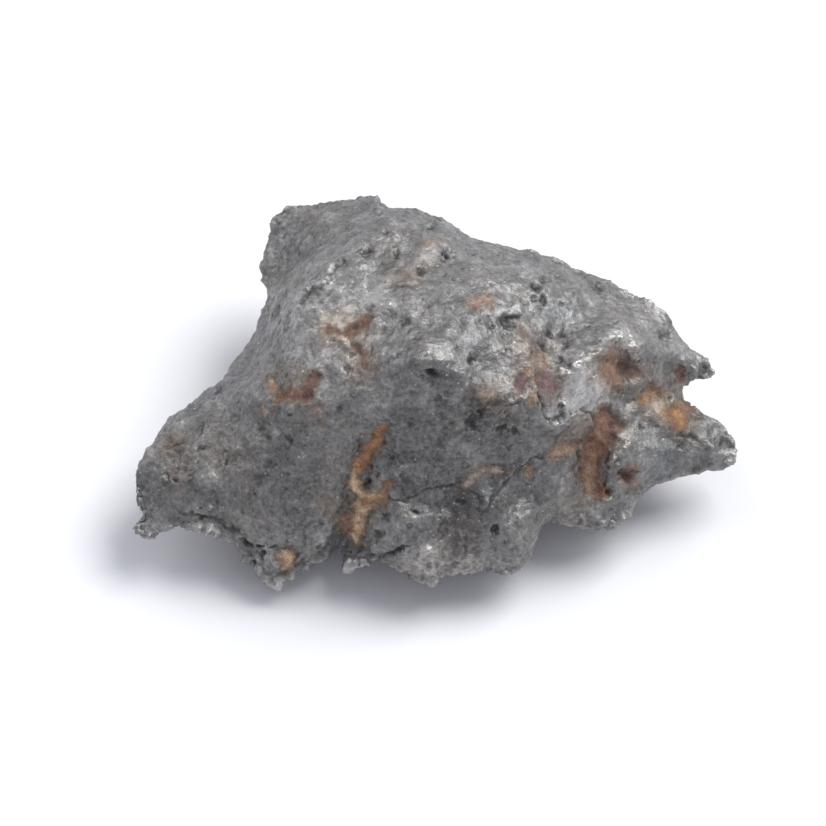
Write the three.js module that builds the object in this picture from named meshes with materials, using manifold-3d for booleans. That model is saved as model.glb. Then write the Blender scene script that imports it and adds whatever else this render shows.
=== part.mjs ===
// A hand-sized iron meteorite: one jagged fragment of metal, a closed solid in millimetres with +Z up.
//
// The stone is described the way a surveyor describes a hill. Its best side is its face, which leans back
// from the table. RIM walks once round the edge of the face, SPOT_HEIGHTS gives how far the crests, brows
// and hollows stand out of it, and a net of triangles joins those points into a surface. Behind the rim
// the stone curves down to a belly, and the table plane cuts the belly flat on the feet it rests on.
import * as THREE from "three";
import { ImprovedNoise } from "three/addons/math/ImprovedNoise.js";
import { mergeVertices } from "three/addons/utils/BufferGeometryUtils.js";
import Module from "manifold-3d";

// ---- Driving dimensions, in millimetres and degrees ----

const FACE_LEAN = 55; // how far above the horizon the face looks
const FACE_ORIGIN_HEIGHT = 14.6; // height of the face's origin above the table
const FACE_CENTRE = { x: -1, y: -0.5 }; // the place on the face that every part of the rim can see
const RIM_STEPS = 176; // facets round the rim
const SPACING = 0.9; // distance between neighbouring points of the surface
const RIM_CLEARANCE = 0.675; // no inner point comes nearer to the rim than this
const FACE_REACH = 32; // the face lies within this distance of its origin
const SOFTENING = 0.55; // radius over which the creases of the survey net are rounded

const GRAIN_HEIGHT = 0.5; // height of the lumps that cover the face
const GRAIN_WIDTH = 3.2; // width of one lump
const HIDDEN_LUMP_HEIGHT = 2.2; // the belly and the back wall carry broader, higher lumps
const HIDDEN_LUMP_WIDTH = 8;

// The rim, clockwise from the left tip as the face is looked at: [across, up the face, out of the face].
const RIM = {
  leftTip: [[-29.1, -11.4, -2], [-29.8, -10.6, -2], [-30, -9.2, -2.4], [-29.6, -7.2, -2.6]],
  leftFlank: [[-28.6, -5.4, -3.4], [-27, -3, -4.6], [-24.2, -0.4, -6], [-21, 2.2, -7.4], [-18.8, 5, -9]],
  leftNeck: [[-17.6, 7.6, -10], [-16.3, 10.2, -11], [-16.7, 12.4, -12], [-16.9, 15.2, -13.2]],
  prong: [[-16.2, 17.4, -14], [-15, 19.4, -14.4], [-12.6, 19.9, -14], [-9, 20.1, -13], [-6.2, 20.7, -12]],
  topEdge: [[-4, 19.8, -10.4], [-1.6, 19.4, -9], [1.6, 18.1, -8], [3.6, 16.5, -7.2], [5.4, 15.7, -6.8]],
  rightShoulder: [
    [8.4, 15.4, -6.6], [11.4, 14.8, -6.8], [14.6, 13.3, -7], [17.8, 11.7, -7.2], [21, 10.2, -7.2],
  ],
  upperHorn: [
    [23.6, 8.6, -7.2], [25.4, 5.8, -7], [27.4, 4.2, -7.2], [28.6, 2.7, -7.4], [27.2, 2.2, -7.2],
  ],
  hornNotch: [[25.8, 1.7, -6.6], [25.4, 0.6, -6.4], [26.4, -0.6, -6.4]],
  lowerHorn: [
    [28.4, -1.8, -6.2], [30, -3.2, -6.2], [30.9, -4.6, -6], [30.4, -6.4, -5.8], [28.4, -7.1, -5.4],
  ],
  rightBelly: [
    [25.6, -7.6, -4.8], [22.6, -8.4, -4], [20.6, -10.2, -3.2], [18.6, -12.4, -2.4], [16.6, -13.1, -1.8],
  ],
  undercut: [[13.6, -12.6, -1.8], [11.6, -12.5, -2.2], [10.4, -13.9, -1.4], [10, -16, -0.8]],
  apron: [[8.2, -17.9, -0.2], [5.2, -17.3, 0.2], [2, -17.3, 0.5], [-0.6, -18, 0.6], [-3.4, -16.7, 0.4]],
  toe: [[-5.6, -15.7, -0.4], [-7.5, -16.7, -0.6], [-8.3, -16.1, -1]],
  slot: [[-8.4, -14.8, -2.2], [-9.3, -14.6, -2.4]],
  leftLobe: [[-10.4, -15.9, -1.4], [-13.2, -17, -1.2], [-15.6, -18.1, -1.6], [-17.4, -16.9, -1.6]],
  leftHem: [
    [-18.8, -15, -1.2], [-21, -13.4, -1], [-23.4, -12.6, -1.2], [-26, -12.9, -1.6], [-27.4, -13.3, -1.8],
  ],
  spur: [[-28.8, -13.7, -1.8], [-29.6, -12.7, -1.9]],
};

// Spot heights inside the rim, grouped by the feature that they shape, in the same three measures.
const SPOT_HEIGHTS = {
  summit: [[-0.8, 4.8, 10.2], [-2.8, 3.6, 9.4], [-5, 1.2, 7.6], [2.6, 2.6, 9]],
  leftBrow: [[-8.6, 0, 6.1], [-13, 0.6, 4.3], [-17.2, 1.4, 0.8], [-21, -0.6, -2.8]],
  rightBrow: [[6, 0, 7.6], [9.4, -1.8, 6], [12, 1.8, 5], [14.6, 3.8, 4.9], [17, 2.6, 3.4]],
  crest: [
    [-4, 18, -4.4], [-8, 15.2, -1.2], [-11, 12.4, 0.6], [-13, 9.8, 0.8], [-14.4, 6.8, 0.2], [-16, 3.6, -0.6],
  ],
  prongLedge: [[-13, 17, -11.6], [-10, 18, -10.4], [-14.6, 13, -10.8], [-12.4, 14.2, -9], [-8.4, 17, -7]],
  leftSlope: [
    [-15.4, 10.6, -8], [-16.4, 6.6, -5.6], [-18.6, 2.6, -5.4], [-21.6, 0.2, -5], [-24.6, -2.4, -4],
  ],
  plateau: [[-3, 14, 0.4], [1.4, 15.6, -2.4], [-5, 10, 4], [1, 10, 4], [-7.2, 6, 4.6], [-10.4, 5, 3.4]],
  shoulder: [[7, 12.8, 0.2], [5, 9, 4.6], [9, 9, 3.2], [12, 11, -0.6], [3.2, 5.6, 7.4], [9.6, 4.4, 5]],
  shoulderDip: [[-1.4, 7.6, 5.8], [12.6, 6, 1.8], [16, 8, -1.2], [17, 10, -4], [20.4, 8.4, -4]],
  brightBoss: [[18.6, 6.6, 1.2], [21, 5.4, 0]],
  brownHollow: [[19, 3, -2], [20.8, 1.6, -2.2]],
  horns: [[23.4, 5, -3.4], [26, 3.6, -5], [23.6, -0.6, -3.8], [26.4, -3, -3.9], [28.2, -4.8, -4.2]],
  ochreHollow: [[24.8, -5.4, -3.4], [22, 0.4, -3.2], [24.4, -1.6, -4]],
  rustGutter: [[17, -1.8, 0], [16, -5, -0.6], [15.8, -8.4, -1.4], [12.8, -4.2, 1.2]],
  gutterBanks: [
    [14.2, -2.2, 2.4], [13.2, -6.8, 1], [18.4, -5.6, 0.2], [18.2, -9.4, -0.8], [20.8, -3.6, -1.2],
  ],
  frontFacet: [
    [0.4, -1, 7.4], [1.2, -4.2, 5.8], [4.4, -5, 5], [-3, -4, 5.2], [0, -8.8, 3.4], [4.8, -8.2, 2.9],
  ],
  vein: [[-5.4, -3.2, 4], [-6.8, -6, 2.6], [-7.4, -9, 1.2], [-8, -12.4, -0.8]],
  apronSwell: [
    [-3, -11, 3.6], [1, -12, 3.5], [6, -12, 2.8], [9, -14.4, 1.2], [0, -15.6, 2.4], [-5, -14.4, 1.6],
  ],
  rightApron: [
    [-5.8, -12, 1.8], [8, -6, 3.2], [11, -7, 1.6], [11, -10, 0.6], [14.6, -11, 0], [21.8, -6, -1.8],
  ],
  leftFace: [
    [-10, -4, 5], [-13, -4, 4], [-17, -3, 1.6], [-21, -3, -1], [-24, -4.2, -2], [-25.6, -8, -0.8],
  ],
  leftFoot: [
    [-20, -8, 1.4], [-15, -9, 3.2], [-11, -10, 3.2], [-10, -13, 1.6], [-14, -14, 1.4], [-18, -13, 0.4],
  ],
};

// The belly hangs from the rim down to its middle, and its foot bumps are all that reaches the table.
const RIM_THICKNESS = 0.7; // the torn rim is a wall this thick, and the belly hangs from its inner edge
const BELLY_MIDDLE = new THREE.Vector3(-1, 7, 1.8);
const FRONT_TUCK = 0.62; // how far out the underside still hangs in front, where the rim overhangs it
const BACK_BULGE = 1.02; // how far out the back wall drops before it turns in
const FRONT_BEND_HEIGHT = 0.3; // how high the underside bends in front, as a share of the rim's height
const BACK_BEND_HEIGHT = 0.06; // how high the back wall turns in
const FRONT_EDGE = -8; // the belly is all front this far forward of the face's origin
const BACK_EDGE = 12; // and all back wall this far behind it
const RIM_AVERAGED = 9; // rim steps to each side that the belly averages, so that small tears fade from it
const RIM_MARGIN = 0.3; // share of the way in from the rim over which the hidden lumps and feet set in
const HIDDEN_CENTRE_HEIGHT = 9; // the hidden lumps push away from a point this high above the table
const FEET = [{ x: -14, y: 2, drop: 3.2 }, { x: 12, y: 2, drop: 3.2 }, { x: -2, y: 16, drop: 5 }];
const FOOT_RADIUS = 5;

const METAL_GREY = 0x7d7d7f;

// ---- The face's frame and the table's ----

const lean = THREE.MathUtils.degToRad(FACE_LEAN);

/** Turns a place on the face, x across and y up it, with a depth out of it, into a place over the table. */
function overTable({ x, y }, depth) {
  return new THREE.Vector3(
    x,
    y * Math.sin(lean) - depth * Math.cos(lean),
    y * Math.cos(lean) + depth * Math.sin(lean) + FACE_ORIGIN_HEIGHT,
  );
}

const surveyed = (groups) => Object.values(groups).flat().map((place) => new THREE.Vector3(...place));

// ---- Nets of triangles ----

/** A triangle with the circle through its corners, whose emptiness decides which triangles a net keeps. */
function circledTriangle(points, corners) {
  const [a, b, c] = corners.map((i) => points[i]);
  const [bx, by, cx, cy] = [b.x - a.x, b.y - a.y, c.x - a.x, c.y - a.y];
  const twiceArea = 2 * (bx * cy - by * cx);
  const x = (cy * (bx * bx + by * by) - by * (cx * cx + cy * cy)) / twiceArea;
  const y = (bx * (cx * cx + cy * cy) - cx * (bx * bx + by * by)) / twiceArea;
  return { corners, x: a.x + x, y: a.y + y, reach: x * x + y * y };
}

/** The Delaunay net of some points, seen from above, grown by one point at a time. */
function delaunayNet(places) {
  const far = 2000;
  const count = places.length;
  const points = [...places, { x: -far, y: -far }, { x: far, y: -far }, { x: 0, y: far }];
  let triangles = [circledTriangle(points, [count, count + 1, count + 2])];
  for (let i = 0; i < count; i++) {
    const holeEdges = new Map();
    const kept = [];
    for (const triangle of triangles) {
      const [dx, dy] = [points[i].x - triangle.x, points[i].y - triangle.y];
      if (dx * dx + dy * dy >= triangle.reach) {
        kept.push(triangle);
        continue;
      }
      const [a, b, c] = triangle.corners;
      for (const [from, to] of [[a, b], [b, c], [c, a]]) {
        if (!holeEdges.delete(`${to} ${from}`)) holeEdges.set(`${from} ${to}`, [from, to]);
      }
    }
    const fan = [...holeEdges.values()].map(([from, to]) => circledTriangle(points, [from, to, i]));
    triangles = [...kept, ...fan];
  }
  return triangles.map((triangle) => triangle.corners).filter((corners) => Math.max(...corners) < count);
}

// ---- The rim and how deep the face is inside it ----

const rimCurve = new THREE.CatmullRomCurve3(surveyed(RIM), true, "centripetal");
const rim = rimCurve.getSpacedPoints(RIM_STEPS).slice(1);
const spots = [...surveyed(RIM), ...surveyed(SPOT_HEIGHTS)];
const surveyNet = delaunayNet(spots).map((corners) => corners.map((i) => spots[i]));

/** How far the survey net stands out of the face at a place, or null outside the net. */
function netDepth(x, y) {
  for (const [a, b, c] of surveyNet) {
    const area = (b.x - a.x) * (c.y - a.y) - (c.x - a.x) * (b.y - a.y);
    const shareB = ((x - a.x) * (c.y - a.y) - (c.x - a.x) * (y - a.y)) / area;
    const shareC = ((b.x - a.x) * (y - a.y) - (x - a.x) * (b.y - a.y)) / area;
    const shareA = 1 - shareB - shareC;
    if (Math.min(shareA, shareB, shareC) > -1e-6) return shareA * a.z + shareB * b.z + shareC * c.z;
  }
  return null;
}

/** The net's depth averaged over a small disc, which rounds its creases. */
function faceDepth({ x, y }) {
  const found = [netDepth(x, y)];
  for (let i = 0; i < 6; i++) {
    const turn = (i * Math.PI) / 3;
    found.push(netDepth(x + SOFTENING * Math.cos(turn), y + SOFTENING * Math.sin(turn)));
  }
  const inside = found.filter((depth) => depth !== null);
  return inside.reduce((sum, depth) => sum + depth, 0) / inside.length;
}

/** Whether a place lies inside the rim, by counting the rim's crossings to the right of it. */
function insideRim({ x, y }) {
  let crossings = 0;
  rim.forEach((a, i) => {
    const b = rim[(i + 1) % rim.length];
    if (a.y > y !== b.y > y && x < a.x + ((b.x - a.x) * (y - a.y)) / (b.y - a.y)) crossings++;
  });
  return crossings % 2 === 1;
}

// ---- The surface ----

const noise = new ImprovedNoise();

/** Lumps of one width over the whole stone, from -1 to 1. */
function lumps(place, width) {
  const at = place.clone().divideScalar(width);
  return noise.noise(at.x, at.y, at.z) + 0.5 * noise.noise(at.x * 2.3 + 11, at.y * 2.3, at.z * 2.3);
}

/** A place on the face, with the lumps of its skin. */
function onFace(place) {
  const bare = overTable(place, faceDepth(place));
  const outward = new THREE.Vector3(0, -Math.cos(lean), Math.sin(lean));
  return bare.addScaledVector(outward, GRAIN_HEIGHT * lumps(bare, GRAIN_WIDTH));
}

/** Where the line from the face's centre through a place meets the rim, and the share of the way there. */
function towardsRim(place) {
  const away = new THREE.Vector2(place.x - FACE_CENTRE.x, place.y - FACE_CENTRE.y);
  for (let i = 0; i < rim.length; i++) {
    const from = new THREE.Vector2(rim[i].x - FACE_CENTRE.x, rim[i].y - FACE_CENTRE.y);
    const side = new THREE.Vector2().subVectors(rim[(i + 1) % rim.length], rim[i]);
    const along = -from.cross(away) / side.cross(away);
    const share = away.cross(side) / from.cross(side);
    if (along >= 0 && along <= 1 && share > 0) return { step: i + along, share };
  }
  throw new Error("the face's centre cannot see all of the rim");
}

/** The rim's inner edge over the table at a step round it, averaged over so many steps to each side. */
function innerEdge(step, breadth) {
  const sum = new THREE.Vector3();
  for (let i = -breadth; i <= breadth; i++) {
    const at = THREE.MathUtils.euclideanModulo(step + i, rim.length);
    const place = rim[Math.floor(at)].clone().lerp(rim[(Math.floor(at) + 1) % rim.length], at % 1);
    sum.add(overTable(place, place.z - RIM_THICKNESS));
  }
  return sum.divideScalar(2 * breadth + 1);
}

/** How much the foot bumps lower the belly at a place. */
function footDrop({ x, y }) {
  const drops = FEET.map((foot) => {
    const away = Math.hypot(x - foot.x, y - foot.y) / FOOT_RADIUS;
    return foot.drop * Math.exp(-2 * away * away);
  });
  return Math.max(...drops);
}

/**
 * A place on the hidden side, which hangs behind the same place of the face. In front it runs back under
 * the overhanging rim; behind, it drops as a wall before it turns in to the belly.
 */
function onBelly(place) {
  const { step, share } = towardsRim(place);
  const edge = innerEdge(step, 0);
  const broadEdge = innerEdge(step, RIM_AVERAGED);
  const behind = THREE.MathUtils.smoothstep(broadEdge.y, FRONT_EDGE, BACK_EDGE);
  const bend = BELLY_MIDDLE.clone().lerp(broadEdge, THREE.MathUtils.lerp(FRONT_TUCK, BACK_BULGE, behind));
  bend.z = broadEdge.z * THREE.MathUtils.lerp(FRONT_BEND_HEIGHT, BACK_BEND_HEIGHT, behind);
  const bare = new THREE.QuadraticBezierCurve3(edge, bend, BELLY_MIDDLE).getPoint(1 - share);
  const fromRim = THREE.MathUtils.smoothstep(1 - share, 0, RIM_MARGIN);
  const centre = new THREE.Vector3(BELLY_MIDDLE.x, BELLY_MIDDLE.y, HIDDEN_CENTRE_HEIGHT);
  const outward = bare.clone().sub(centre).normalize();
  bare.addScaledVector(outward, HIDDEN_LUMP_HEIGHT * lumps(bare, HIDDEN_LUMP_WIDTH) * fromRim);
  bare.z -= footDrop(bare) * fromRim;
  return bare;
}

/** Points spread evenly inside the rim, in staggered rows, clear of the rim itself. */
function innerPlaces() {
  const places = [];
  const rowHeight = SPACING * Math.sin(Math.PI / 3);
  const rowCount = Math.floor(FACE_REACH / rowHeight);
  for (let row = -rowCount - 1; row <= rowCount; row++) {
    for (let x = -FACE_REACH + (row % 2) * (SPACING / 2); x < FACE_REACH; x += SPACING) {
      const place = { x, y: row * rowHeight };
      const clear = rim.every((at) => Math.hypot(at.x - x, at.y - place.y) > RIM_CLEARANCE);
      if (clear && insideRim(place)) places.push(place);
    }
  }
  return places;
}

/** The whole stone before it is set down: the feet of its belly still reach below the table plane. */
function roughStone() {
  const inner = innerPlaces();
  const plan = [...rim, ...inner];
  const middleOf = (corners) => ({
    x: corners.reduce((sum, i) => sum + plan[i].x, 0) / 3,
    y: corners.reduce((sum, i) => sum + plan[i].y, 0) / 3,
  });
  const facets = delaunayNet(plan).filter((corners) => insideRim(middleOf(corners)));

  const outerEdge = rim.map((at) => overTable(at, at.z));
  const inEdge = rim.map((at) => overTable(at, at.z - RIM_THICKNESS));
  const points = [...outerEdge, ...inner.map(onFace), ...inEdge, ...inner.map(onBelly)];
  const behind = (i) => i + plan.length;
  const front = facets.flat();
  const back = facets.flatMap(([a, b, c]) => [behind(a), behind(c), behind(b)]);
  const wall = rim.flatMap((_, i) => {
    const next = (i + 1) % rim.length;
    return [i, next, behind(next), i, behind(next), behind(i)];
  });
  return new THREE.BufferGeometry()
    .setAttribute("position", new THREE.Float32BufferAttribute(points.flatMap((p) => [p.x, p.y, p.z]), 3))
    .setIndex([...front, ...back, ...wall]);
}

// ---- Setting the stone down ----

const wasm = await Module();
wasm.setup();

function toSolid(geometry) {
  const bare = geometry.clone();
  bare.deleteAttribute("normal");
  bare.deleteAttribute("uv");
  const merged = mergeVertices(bare, 1e-4);
  return new wasm.Manifold(
    new wasm.Mesh({
      numProp: 3,
      vertProperties: merged.attributes.position.array,
      triVerts: new Uint32Array(merged.index.array),
    }),
  );
}

function toGeometry(solid) {
  const mesh = solid.getMesh();
  return new THREE.BufferGeometry()
    .setAttribute("position", new THREE.Float32BufferAttribute(mesh.vertProperties, 3))
    .setIndex([...mesh.triVerts]);
}

/** Everything just below the table plane, which cuts the feet flat. */
function tableBlock() {
  const [wide, deep] = [200, 40];
  return toSolid(new THREE.BoxGeometry(wide, wide, deep).translate(0, 0, -deep / 2));
}

function makeMeteorite() {
  const geometry = toGeometry(toSolid(roughStone()).subtract(tableBlock()));
  geometry.computeVertexNormals();
  const metal = new THREE.MeshStandardMaterial({ color: METAL_GREY, roughness: 0.45, metalness: 0.8 });
  const mesh = new THREE.Mesh(geometry, metal);
  mesh.name = "meteorite";
  return mesh;
}

// The part's origin is on the table, under the middle of the stone's box.
const meteorite = makeMeteorite();
const middle = new THREE.Box3().setFromObject(meteorite).getCenter(new THREE.Vector3());
meteorite.position.set(-middle.x, -middle.y, 0);

const part = new THREE.Group();
part.add(meteorite);

export default part;
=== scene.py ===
# %% [markdown]
# # A meteorite, from a bare solid to a stone you could pick up
#
# The stone is a torn fragment of an iron meteorite, about as long as a thumb. Its metal melted at the skin,
# boiled a little, froze, and has since started to rust. The solid we are given has the right outline, crests
# and hollows, but it is as smooth as wax.
#
# Everything a viewer would call "texture" on a stone like this is really shape: gas pits, cracks, drips of
# melt and crusts of grains, down to a quarter of a millimetre. So most of this lesson carves a dense copy of
# the solid. The finish comes last, and reads from the carving where the rust and the bright crusts are, and
# where light and shade are painted into the colour.

import math

import bpy
import numpy as np
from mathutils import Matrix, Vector, kdtree, noise


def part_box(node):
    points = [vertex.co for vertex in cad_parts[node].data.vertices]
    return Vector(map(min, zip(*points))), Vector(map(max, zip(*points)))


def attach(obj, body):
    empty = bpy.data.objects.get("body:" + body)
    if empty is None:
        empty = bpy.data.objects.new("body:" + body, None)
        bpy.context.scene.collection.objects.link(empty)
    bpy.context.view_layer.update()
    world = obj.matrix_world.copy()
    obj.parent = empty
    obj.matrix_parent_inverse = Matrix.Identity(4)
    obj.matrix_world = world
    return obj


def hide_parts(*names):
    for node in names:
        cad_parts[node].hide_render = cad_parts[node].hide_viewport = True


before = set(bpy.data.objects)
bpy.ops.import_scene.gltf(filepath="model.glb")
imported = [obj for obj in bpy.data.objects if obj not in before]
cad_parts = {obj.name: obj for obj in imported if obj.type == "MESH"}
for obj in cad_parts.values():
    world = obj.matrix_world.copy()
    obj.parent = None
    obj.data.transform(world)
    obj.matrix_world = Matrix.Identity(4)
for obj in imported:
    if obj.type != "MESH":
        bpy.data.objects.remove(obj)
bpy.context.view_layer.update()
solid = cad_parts["meteorite"]
MM = 0.001
low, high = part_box("meteorite")
print("the solid is", [round(side / MM, 1) for side in high - low], "mm")

# %% [markdown]
# ## The face and the camera
#
# The stone has a best side. We call it the face: it leans back so that it looks 55 degrees above the horizon.
# Two directions lie in it, across (to the right) and up, and a third, out, points away from it. Every mark
# on the face is placed in these measures, in millimetres, so the lists below read like a map of the stone.
#
# The face's origin sits a fixed way in from the solid's left tip and front edge, and above the table.

# %% The face's directions
FACE_LEAN = math.radians(55)
ACROSS = Vector((1, 0, 0))
UP = Vector((0, math.sin(FACE_LEAN), math.cos(FACE_LEAN)))
OUT = Vector((0, -math.cos(FACE_LEAN), math.sin(FACE_LEAN)))
ORIGIN_FROM_CORNER = Vector((30.0, 15.08, 14.6))
FACE_ORIGIN = low / MM + ORIGIN_FROM_CORNER


def on_face(across, up, out=0):
    """A place given in the face's millimetres, as a place in the scene."""
    return (FACE_ORIGIN + across * ACROSS + up * UP + out * OUT) * MM


print("face origin at", [round(c, 2) for c in FACE_ORIGIN], "mm")

# %% [markdown]
# The camera looks straight at the face from well back, through a long lens. A short lens close by would swell
# the near end of the stone, and a long one keeps both ends at the same scale.

# %% The camera
LONG_LENS = 400
VIEW_WIDTH = 82.6
VIEW_CENTRE = (-1.7, -1.3)

lens = bpy.data.cameras.new("camera")
lens.lens = LONG_LENS
lens.dof.use_dof = False
distance = VIEW_WIDTH * lens.lens / lens.sensor_width
camera = bpy.data.objects.new("camera", lens)
camera.location = on_face(*VIEW_CENTRE, distance)
camera.rotation_euler = (math.pi / 2 - FACE_LEAN, 0, 0)
lens.clip_start = 0.01
bpy.context.collection.objects.link(camera)
bpy.context.scene.camera = camera
print("camera stands", round(distance), "mm away")

# %% [markdown]
# ## Clay to carve
#
# A carved mesh needs small, even faces. A voxel remesh wraps the solid in a fresh skin of little squares, all
# the same size, and it does not care how long or thin the solid's own triangles were.

# %% A dense copy of the solid
GRID = 0.16

clay = bpy.data.objects.new("clay", solid.data.copy())
bpy.context.collection.objects.link(clay)
remesh = clay.modifiers.new("even squares", "REMESH")
remesh.mode = "VOXEL"
remesh.voxel_size = GRID * MM
relax = clay.modifiers.new("take off the facets", "SMOOTH")
relax.iterations = 6
relax.factor = 0.5

depsgraph = bpy.context.evaluated_depsgraph_get()
stone_mesh = bpy.data.meshes.new_from_object(clay.evaluated_get(depsgraph))
stone_mesh.name = "meteorite stone"
bpy.data.objects.remove(clay)
print("clay has", len(stone_mesh.vertices), "points")

# %% [markdown]
# The carving itself is arithmetic on long lists of points, which numpy does quickly. We read each point's
# place, in millimetres and in the face's measures, and the direction its surface looks. `seen` is 1 on the
# face, 0 on the sides turned away from it, and between the two round the rim.


# %% Read the clay as lists of numbers
def read_vectors(items, what):
    values = np.empty(len(items) * 3, np.float32)
    items.foreach_get(what, values)
    return values.reshape(-1, 3).astype(float)


place = read_vectors(stone_mesh.vertices, "co") / MM
facing = read_vectors(stone_mesh.vertex_normals, "vector")

from_origin = place - np.array(FACE_ORIGIN)
across = from_origin @ np.array(ACROSS)
up = from_origin @ np.array(UP)
looks_out = facing @ np.array(OUT)


def ease(low_edge, high_edge, value):
    """0 below the low edge, 1 above the high edge, and a smooth ramp between."""
    share = np.clip((value - low_edge) / (high_edge - low_edge), 0, 1)
    return share * share * (3 - 2 * share)


FACE_BEGINS, FACE_IS_FULL = -0.25, 0.1
seen = ease(FACE_BEGINS, FACE_IS_FULL, looks_out)
print(round(100 * seen.mean()), "% of the points are on the face")

# %% [markdown]
# The mesh's edges say which points are neighbours. With them a value can be blurred over the surface, and
# the rim can be found: it is where a point stands proud of the average of its neighbours. It begins where a
# point stands out further than 86% of all points, and is full at 96%.

# %% Neighbours, and where the rim is
edge_ends = np.empty(len(stone_mesh.edges) * 2, np.int32)
stone_mesh.edges.foreach_get("vertices", edge_ends)
ends = edge_ends.reshape(-1, 2)
neighbours = np.bincount(ends.ravel(), minlength=len(place))


def blur(values, rounds):
    """Averages a value with its neighbours, so many times over."""
    for _ in range(rounds):
        total = np.bincount(ends[:, 0], values[ends[:, 1]], len(place))
        total += np.bincount(ends[:, 1], values[ends[:, 0]], len(place))
        values = 0.5 * values + 0.5 * total / neighbours
    return values


def stands_proud(of, fine_rounds, broad_rounds):
    """How far a surface, blurred a little, stands out of the same surface blurred a lot."""
    little = np.stack([blur(of[:, i], fine_rounds) for i in range(3)], 1)
    lot = np.stack([blur(little[:, i], broad_rounds) for i in range(3)], 1)
    return np.einsum("ij,ij->i", little - lot, facing)


RIM_BEGINS, RIM_IS_FULL = 86, 96
proud = stands_proud(place, 0, 14)
rim = blur(ease(np.percentile(proud, RIM_BEGINS), np.percentile(proud, RIM_IS_FULL), proud), 3)
print("the rim takes in", round(100 * float((rim > 0.4).mean()), 1), "% of the stone")

# %% [markdown]
# Nature is never regular, so most steps need noise: smooth random hills of a chosen width. `hills` gives one
# size of hill, `crumple` piles up several sizes. The offset picks a different stretch of the same endless
# landscape, so that two layers never line up. Any offset will do, as long as it is not used twice.
#
# The first use of it is to shake the face's coordinates a little. WANDERS lists how wide and how strong each
# shake is, and its two offsets.


# %% Noise over the stone
def scaled(width, offset):
    return (place / width + offset).tolist()


def hills(width, offset=0.0):
    return np.fromiter(map(noise.noise, scaled(width, offset)), float, len(place))


def crumple(width, offset=0.0, octaves=4):
    found = (noise.fractal(at, 0.9, 2.1, octaves) for at in scaled(width, offset))
    return np.fromiter(found, float, len(place))


def creases(width, offset=0.0):
    """Sharp little ridges between rounded hollows, like crumpled foil. About 1 on a ridge."""
    found = (noise.ridged_multi_fractal(at, 0.9, 2.2, 4, 1.0, 2.0) for at in scaled(width, offset))
    return np.fromiter(found, float, len(place))


BEAD_REACH = 0.75


def grains(width, offset=0.0):
    """Rounded beads packed side by side, 1 at a bead's crown and 0 in the cracks between."""
    nearest = (noise.voronoi(at)[0][0] for at in scaled(width, offset))
    from_crown = np.fromiter(nearest, float, len(place)) / BEAD_REACH
    return np.sqrt(np.clip(1 - from_crown**2, 0, 1))


WANDERS = [(1.3, 0.34, 3.7, 9.1), (0.55, 0.26, 5.3, 7.7), (0.3, 0.10, 6.1, 8.3)]
wander = np.zeros((2, len(place)))
for width, amount, first_offset, second_offset in WANDERS:
    wander += amount * np.stack([hills(width, first_offset), hills(width, second_offset)])
at_across, at_up = across + wander[0], up + wander[1]
print("outlines wander by up to", round(float(np.abs(wander).max()), 2), "mm")

# %% [markdown]
# ## The map of the face
#
# Marks come in three shapes. A **spot** is a round place with a soft edge. A **line** is a chain of short
# straight pieces, each end with its own half width. A **pit** is an oval with a direction. Every mark is
# measured on the wandering coordinates above, so that none of them has a drawn, perfect edge.


# %% Measuring how far a point is from a mark
def spot(centre_across, centre_up, radius):
    """1 in the middle of a round place, fading to 0 at its radius."""
    reach = np.hypot(at_across - centre_across, at_up - centre_up) / radius
    return ease(0, 1, 1 - reach) * seen


def near_line(points, half_widths):
    """Distance to a chain of points, in half widths, and in millimetres with a sign for the line's side."""
    nearest = np.full(len(place), np.inf)
    signed = np.full(len(place), np.inf)
    for start, end, wide, wide_end in zip(points, points[1:], half_widths, half_widths[1:]):
        run = np.subtract(end, start)
        from_start = np.stack([at_across - start[0], at_up - start[1]], 1)
        share = np.clip(from_start @ run / (run @ run), 0, 1)
        gap = from_start - share[:, None] * run
        length = np.hypot(gap[:, 0], gap[:, 1])
        side = np.sign(run[0] * from_start[:, 1] - run[1] * from_start[:, 0])
        closer = length < np.abs(signed)
        signed = np.where(closer, length * side, signed)
        nearest = np.minimum(nearest, length / (wide + share * (wide_end - wide)))
    return nearest, signed


def pit_reach(centre_across, centre_up, half_width, half_length, turn):
    """Distance from an oval pit's centre, where 1 is its brim."""
    angle = math.radians(turn)
    ahead = (at_across - centre_across) * math.cos(angle) + (at_up - centre_up) * math.sin(angle)
    aside = (at_up - centre_up) * math.cos(angle) - (at_across - centre_across) * math.sin(angle)
    return np.hypot(ahead / half_length, aside / half_width)
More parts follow.
